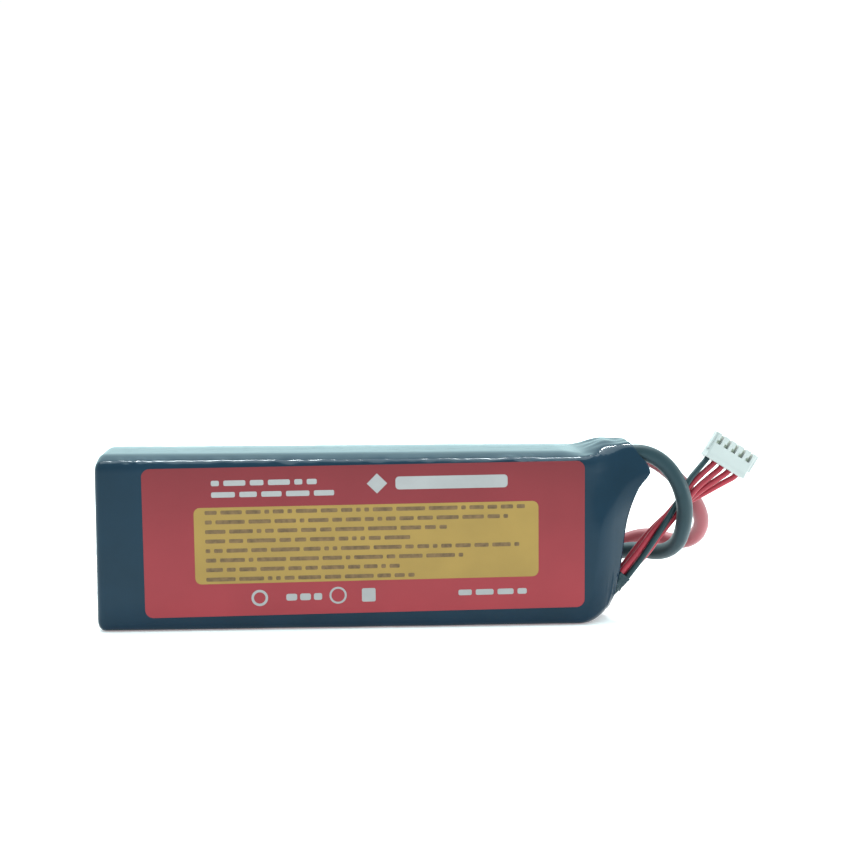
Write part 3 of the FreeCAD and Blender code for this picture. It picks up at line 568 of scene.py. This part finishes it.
def crumple(x, y, z, across, up):
    """How far the film stands off the smooth form: creases along its edges, and round the mouth."""
    # Where each kind of crease lies, from 0 to 1. The tall sides, with the labels on them, stay flatter.
    roof = smoothstep((up - 0.965) / 0.03)
    front_edge = roof * smoothstep(1 - across / 0.16)
    back_edge = roof * smoothstep((across - 0.85) / 0.15)
    low_edges = max(0.0, 1 - z / 2.5) * smoothstep(abs(across - 0.5) * 2 - 0.7)
    puckered = sum(hump(x, middle, reach) for middle, reach in PUCKERS)
    neck_roof = roof * smoothstep((x - 57.0) / 6.0)
    low_mouth = smoothstep((0.26 - up) / 0.12) * smoothstep((x - 63.2) / 3.0) * smoothstep(1 - across / 0.3)
    loose = 1.0 if up > 0.98 or up < 0.02 else 0.25
    # The creases themselves.
    fine = abs(ripple(x, y * 0.8, z * 0.8, 1.35, 7.7))
    broad = ripple(x, y, z, 3.6, 1.3)
    total = front_edge * (PUCKER_HEIGHT * puckered * fine + FRONT_CREASE * broad)
    total += EDGE_CREASE * (fine + broad) * (back_edge + 0.4 * low_edges)
    total += SWELL * loose * ripple(x, y, z, 18.0, 5.5)
    total += NECK_CREASE * neck_roof * ripple(x * 0.6, y, z, 3.4, 9.2)
    total += low_mouth * (MOUTH_CREASE * abs(ripple(x, y, z, 1.9, 6.1)) - 0.2)
    return total


def film_ring(xs):
    """One ring of the film, from the X of each of its points."""
    ring = []
    for x, block, mouth in zip(xs, BLOCK_SHARES, MOUTH_SHARES):
        rounder = smoothstep((x - SHOULDER) / MOUTH_BLEND)
        across = mix(block[0], mouth[0], rounder)
        up = mix(block[1], mouth[1], rounder)
        lean = smoothstep((up - 0.5) / 0.45)
        # The curves swell a little between their points, so they are held to the block's flat sides.
        front = -min(mix(along(NECK_FRONT, x), along(NECK_FRONT_TOP, x), lean), HALF_THICK)
        back = min(along(NECK_BACK, x), HALF_THICK)
        behind = smoothstep(across / 0.4)
        roof = mix(along(NECK_RIDGE, x), along(NECK_ROOF, x), behind)
        low = corner_floor(x)
        near_rim = min(max(0.0, 1 - (rim_at(across, up) - x) / ROLL_LENGTH), 1.0)
        rolled = near_rim**1.3 * (1 - smoothstep((up - 0.5) / 0.32))
        front += ROLL_FRONT * rolled
        back -= ROLL_BACK * rolled
        y = mix(front, back, across)
        z = mix(low, roof, up)
        on_block = 1 - smoothstep((x - TOP_FADE_START) / TOP_FADE_LENGTH)
        z += top_profile(across) * smoothstep((up - 0.93) / 0.07) * on_block
        # The creases stand off along the face they are on, and slantwise at the edges.
        normal_y = 2 * across - 1 if 0.06 < up < 0.94 else 0.45 * (2 * across - 1)
        normal_z = 1.0 if up > 0.97 else -1.0 if up < 0.03 else 0.0
        size = math.hypot(normal_y, normal_z) or 1.0
        lift = crumple(x, y, z, across, up)
        y += lift * normal_y / size
        z += lift * normal_z / size
        ring.append((x, y, max(z, 0.0)))
    return ring


def film_rings():
    """The film from the opening at the plain end, along the block, to the rim of the mouth."""
    rings = []
    # The end: the film is drawn in from the edge of the block to the opening, in pleats.
    opening = rounded_outline(**REAR_OPENING)
    for i in range(END_RINGS):
        inwards = 1 - i / END_RINGS
        ring = []
        for (hole_y, hole_z), (block_y, block_z) in zip(opening, BLOCK):
            y = mix(block_y * (1 - REAR_EDGE / HALF_THICK), hole_y, inwards)
            z = mix(MIDDLE + (block_z - MIDDLE) * (1 - REAR_EDGE / MIDDLE), hole_z, inwards)
            angle = math.atan2(z - MIDDLE, y)
            pleat = abs(math.sin(angle * PLEATS / 2 + 1.5 * ripple(y, z, 0, 9.0, 2.0)))
            lift = 0.55 * pleat * smoothstep(inwards * 2.2)
            lift += 0.25 * ripple(y, z, inwards * 3, 3.0, 8.0) * smoothstep(inwards * 3)
            ring.append((REAR + REAR_INSET - max(lift, -0.1) * 0.6, y, z))
        rings.append(ring)
    # Its rounded edge.
    for i in range(EDGE_RINGS):
        a = math.pi / 2 * i / EDGE_RINGS
        inset = REAR_EDGE * (1 - math.sin(a))
        x = REAR + REAR_INSET + REAR_EDGE * (1 - math.cos(a))
        squeeze_y = 1 - inset / HALF_THICK
        squeeze_z = 1 - inset / MIDDLE
        ring = film_ring([x] * len(BLOCK))
        rings.append([(px, py * squeeze_y, MIDDLE + (pz - MIDDLE) * squeeze_z) for px, py, pz in ring])
    # The block, up to just before the shoulder, and the neck from there to the rim.
    x = REAR + REAR_EDGE + 0.4
    while x < SHOULDER - 0.3:
        rings.append(film_ring([x] * len(BLOCK)))
        x += RING_STEP
    for i in range(NECK_RINGS + 1):
        share = i / NECK_RINGS
        rings.append(film_ring([mix(SHOULDER, rim_at(across, up), share) for across, up in BLOCK_SHARES]))
    return rings


def make_film():
    points, faces = skin(film_rings())
    film = mesh_piece("film", points, [tuple(reversed(f)) for f in faces], film_look)
    wall = film.modifiers.new("wall", "SOLIDIFY")
    wall.thickness = FILM_WALL * MM
    wall.offset = -1
    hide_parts("shrink_wrap")


make_film()

# ---------------------------------------------------------------- the labels and their print

LABEL_CENTRE = (-3.3, 25.2)
BACK_LABEL_CENTRE = (-3.3, 23.8)
LABEL_TILT = 0.67
LABEL_FACE = 15.1
# How far each layer of the print stands above the one below, and how far its plates reach into the label.
PRINT_LIFT = 0.02
PRINT_ROOT = 0.01


class Print:
    """Flat shapes on a label, as thin plates. Points are from the label's middle, right and up."""

    def __init__(self, side):
        self.side = side
        self.centre = LABEL_CENTRE if side < 0 else BACK_LABEL_CENTRE
        self.turn = math.radians(LABEL_TILT) if side < 0 else 0.0

    def place(self, right, up, lift):
        x = right * math.cos(self.turn) - up * math.sin(self.turn)
        z = right * math.sin(self.turn) + up * math.cos(self.turn)
        # Seen from behind, the label's right is the other way along the pack.
        x = x if self.side < 0 else -x
        return (self.centre[0] + x, self.side * (LABEL_FACE + lift), self.centre[1] + z)

    def plates(self, name, outlines, look, level=1):
        """One piece made of plates, each from an outline that runs anticlockwise."""
        points = []
        faces = []
        for outline in outlines:
            first = len(points)
            count = len(outline)
            points += [self.place(r, u, -PRINT_ROOT) for r, u in outline]
            points += [self.place(r, u, level * PRINT_LIFT) for r, u in outline]
            faces.append(tuple(first + count + i for i in range(count)))
            for i in range(count):
                j = (i + 1) % count
                faces.append((first + i, first + j, first + count + j, first + count + i))
        mesh_piece(name, points, faces, look, smooth=False)


def bar(left, right, middle, height, radius=None):
    """A rounded bar's outline. The middle is its height on the label."""
    low = middle - height / 2
    high = middle + height / 2
    radius = min(height, right - left) * 0.3 if radius is None else radius
    points = []
    for cx, cy, start in ((right - radius, low + radius, -90), (right - radius, high - radius, 0),
                          (left + radius, high - radius, 90), (left + radius, low + radius, 180)):
        for i in range(5):
            a = math.radians(start + 90 * i / 4)
            points.append((cx + radius * math.cos(a), cy + radius * math.sin(a)))
    return points


def words(left, right, middle, height, seed, shortest=1.3, longest=8.0, gap=1.0):
    """A line of plain bars of uneven length, standing for a line of words."""
    bars = []
    at = left
    step = 0
    while at < right - shortest * 0.6:
        share = 0.42 + 1.3 * noise.noise(Vector((seed * 3.7, step * 1.9, 0.4)))
        length = min(shortest + (longest - shortest) * max(0.0, min(1.0, share)), right - at)
        bars.append(bar(at, at + length, middle, height))
        at += length + gap
        step += 1
    return bars


def ring_strip(cx, cy, radius, width, parts=24):
    """A ring's outline, as quads."""
    quads = []
    for i in range(parts):
        a = 2 * math.pi * i / parts
        b = 2 * math.pi * (i + 1) / parts
        inner = radius - width
        quads.append([
            (cx + inner * math.cos(a), cy + inner * math.sin(a)),
            (cx + radius * math.cos(a), cy + radius * math.sin(a)),
            (cx + radius * math.cos(b), cy + radius * math.sin(b)),
            (cx + inner * math.cos(b), cy + inner * math.sin(b)),
        ])
    return quads


# The yellow panel, as a bar, and the ends of the lines of dark bars on it.
PANEL = (-47.1, 48.0, -0.95, 21.3)
LINE_LEFT = -44.1
LINE_ENDS = (45.6, 40.7, 22.4, 12.2, 42.6, 28.5, 9.2, 13.3)
LINE_TOP = 8.3
LINE_PITCH = 2.66


def front_print():
    sheet = Print(-1)
    sheet.plates("print_panel", [bar(*PANEL, radius=1.7)], panel_look)
    lines = []
    for i, end in enumerate(LINE_ENDS):
        lines += words(LINE_LEFT, end, LINE_TOP - LINE_PITCH * i, 1.1, i + 1)
    sheet.plates("print_lines", lines, ink_look, level=2)
    white = words(-42.2, -11.3, 16.4, 1.5, 11, 2.2, 6.0, 1.2)
    white += words(-42.2, -8.6, 13.2, 1.5, 12, 2.2, 7.5, 1.2)
    # A plain diamond and a heavy bar in place of the heading, and plain shapes in the bottom row.
    white.append([(3.2, 12.7), (6.0, 15.5), (3.2, 18.3), (0.4, 15.5)])
    white.append(bar(8.3, 39.4, 15.5, 3.6, radius=1.0))
    white += ring_strip(-29.6, -15.8, 2.3, 0.7)
    white += words(-22.3, -12.4, -15.8, 1.9, 14, 3.0, 5.5, 0.8)
    white += ring_strip(-8.0, -15.6, 2.4, 0.55)
    white.append(bar(-1.4, 2.4, -15.7, 3.8, radius=0.5))
    white += words(25.5, 45.6, -15.7, 1.6, 15, 2.6, 5.5, 1.1)
    sheet.plates("print_white", white, white_look)


def back_print():
    sheet = Print(1)
    sheet.plates("back_print_panel", [bar(-52.0, -8.0, -9.5, 9.0, radius=1.7)], panel_look)
    lines = []
    for i, end in enumerate((-12.0, -20.0, -14.5)):
        lines += words(-49.5, end, -6.9 - 2.6 * i, 1.15, i + 31)
    sheet.plates("back_print_lines", lines, ink_look, level=2)
    white = [bar(-52.0, 14.0, 9.6, 8.0, radius=1.6)]
    white += words(-52.0, -6.0, 1.6, 1.9, 41, 3.0, 8.0, 1.3)
    for i in range(3):
        white.append(bar(30.0 + 8.0 * i, 35.5 + 8.0 * i, -9.5, 9.0, radius=1.0))
    white += ring_strip(44.0, 9.6, 5.2, 1.0, parts=40)
    sheet.plates("back_print_white", white, white_look)


front_print()
back_print()

# ---------------------------------------------------------------- sleeves


def tube_along(path, profile, count, wobble, seed):
    """Rings round a straight path; profile gives (distance, half width, half depth)."""
    start, direction, wide, deep = path
    rings = []
    for distance, half_wide, half_deep in profile:
        ring = []
        for j in range(count):
            a = 2 * math.pi * j / count
            uneven = 1 + wobble * ripple(distance, 4 * math.cos(a), 4 * math.sin(a), 1.8, seed)
            offset = wide * (half_wide * uneven * math.cos(a)) + deep * (half_deep * uneven * math.sin(a))
            ring.append(tuple(start + direction * distance + offset))
        rings.append(ring)
    return rings


# The sleeves on the leads start at the plug. Each has a place along Y, and a radius at each distance.
SLEEVE_START = 42.15
POLE_HEIGHT = 4.05
LEAD_SLEEVE_RADII = [
    (0.0, 2.55), (0.05, 2.9), (0.6, 2.95), (4.0, 2.92), (5.2, 2.85),
    (6.4, 2.65), (8.0, 2.6), (9.7, 2.58), (10.1, 2.52), (10.15, 2.35),
]
# The sleeve on the balance wires leans along them. Its section is an oval, and its end is turned in.
BUNDLE_CENTRE = (69.0, -6.8, 11.0)
BUNDLE_LEAN = (0.643, 0.0, 0.766)
BUNDLE_ACROSS = (0.766, 0.0, -0.643)
BUNDLE_SLEEVE = [
    (0.0, 2.55, 2.65), (1.1, 2.4, 2.55), (2.3, 2.45, 2.6), (3.4, 2.5, 2.65), (4.3, 2.7, 2.75),
    (4.5, 2.65, 2.7), (4.5, 2.4, 2.45), (3.6, 2.2, 2.4),
]


def make_lead_sleeves():
    for pole, y, look, slot in (("negative", 21.9, black_sleeve_look, "black_sleeve"),
                                ("positive", 29.1, red_sleeve_look, "red_sleeve")):
        start = Vector((SLEEVE_START, y, POLE_HEIGHT))
        path = (start, Vector((1, 0, 0)), Vector((0, 1, 0)), Vector((0, 0, 1)))
        profile = [(distance, radius, radius) for distance, radius in LEAD_SLEEVE_RADII]
        points, faces = skin(tube_along(path, profile, 32, 0.02, y))
        sleeve = mesh_piece(f"sleeve_{pole}", points, faces, look)
        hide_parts(f"lead_sleeve_{pole}")


def make_balance_sleeve():
    lean = Vector(BUNDLE_LEAN)
    start = Vector(BUNDLE_CENTRE) - lean * 2.2
    path = (start, lean, Vector(BUNDLE_ACROSS), Vector((0, 1, 0)))
    points, faces = skin(tube_along(path, BUNDLE_SLEEVE, 15, 0.12, 3.0))
    sleeve = mesh_piece("sleeve_balance", points, faces, black_sleeve_look, smooth=False)
    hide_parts("balance_sleeve")


make_lead_sleeves()
make_balance_sleeve()

# ---------------------------------------------------------------- materials of the CAD pieces


def dress(look, *names):
    for name in names:
        node = nodes[name]
        node.data.materials.clear()
        node.data.materials.append(look)


CELLS = range(1, 5)
dress(label_look, "front_label", "back_label")
dress(pouch_look, *[f"cell_{n}" for n in CELLS])
dress(aluminium_look, *[f"cell_{n}_positive_tab" for n in CELLS])
dress(nickel_look, *[f"cell_{n}_negative_tab" for n in CELLS])
dress(white_foam_look, "foam_tape_1", "foam_tape_2", "foam_tape_3")
dress(tape_look, "fibre_band_1", "fibre_band_2", "fibre_band_3")
dress(board_look, "front_side_board", "back_side_board")
dress(foam_look, "rear_pad", "lead_end_pad")
dress(circuit_look, "series_board")
dress(solder_look, "solder_joints")
dress(tin_look, "balance_contacts")
dress(gold_look, "socket_negative", "socket_positive")
dress(plug_look, "power_plug")
dress(housing_look, "balance_housing")

# ---------------------------------------------------------------- floor and light


FLOOR_SIZE = 6.0
FLOOR_DROP = 0.0002
# Name, place, the point it is aimed at, width, height and watts. The two glints catch the creases along the
# film's front top edge, and the one at the side lights the neck.
LIGHTS = [
    ("overhead", (0.0, 0.15, 0.75), (0.0, 0.0, 0.03), 0.9, 0.5, 5.0),
    ("glint_left", (-0.09, 0.29, 0.50), (-0.045, -0.014, 0.047), 0.14, 0.014, 1.2),
    ("glint_right", (0.115, 0.29, 0.50), (0.042, -0.014, 0.047), 0.09, 0.014, 0.8),
    ("side", (0.66, -0.12, 0.06), (0.068, -0.01, 0.02), 0.2, 0.3, 1.8),
]


def make_floor():
    look = plastic("floor", (0.93, 0.93, 0.93), spread=0.01, rough=(0.7, 0.8), grain=8.0, depth=0.01,
                   level=0.2, mottle=200.0)
    shader = look.node_tree.nodes["Principled BSDF"]
    shader.inputs["Emission Color"].default_value = (1, 0.8, 0.8, 1)
    shader.inputs["Emission Strength"].default_value = 0.3
    corners = [(-1, -1), (1, -1), (1, 1), (-1, 1)]
    mesh = bpy.data.meshes.new("floor")
    mesh.from_pydata([(x * FLOOR_SIZE, y * FLOOR_SIZE, 0) for x, y in corners], [], [(0, 1, 2, 3)])
    mesh.materials.append(look)
    floor = bpy.data.objects.new("floor", mesh)
    floor.location.z = -FLOOR_DROP
    bpy.context.scene.collection.objects.link(floor)


def area_light(name, place, aim, wide, high, watts):
    data = bpy.data.lights.new(name, "AREA")
    data.shape = "RECTANGLE"
    data.size = wide
    data.size_y = high
    data.energy = watts
    light = bpy.data.objects.new(name, data)
    light.location = place
    light.rotation_euler = (Vector(aim) - Vector(place)).to_track_quat("-Z", "Y").to_euler()
    bpy.context.scene.collection.objects.link(light)


def make_light():
    world = bpy.data.worlds.new("studio")
    world.use_nodes = True
    sky = world.node_tree.nodes["Background"]
    sky.inputs["Color"].default_value = (0.71, 1.0, 1.02, 1)
    sky.inputs["Strength"].default_value = 1.43
    bpy.context.scene.world = world
    for light in LIGHTS:
        area_light(*light)
    bpy.context.scene.view_settings.view_transform = "Standard"
    bpy.context.scene.view_settings.look = "None"


make_floor()
make_light()
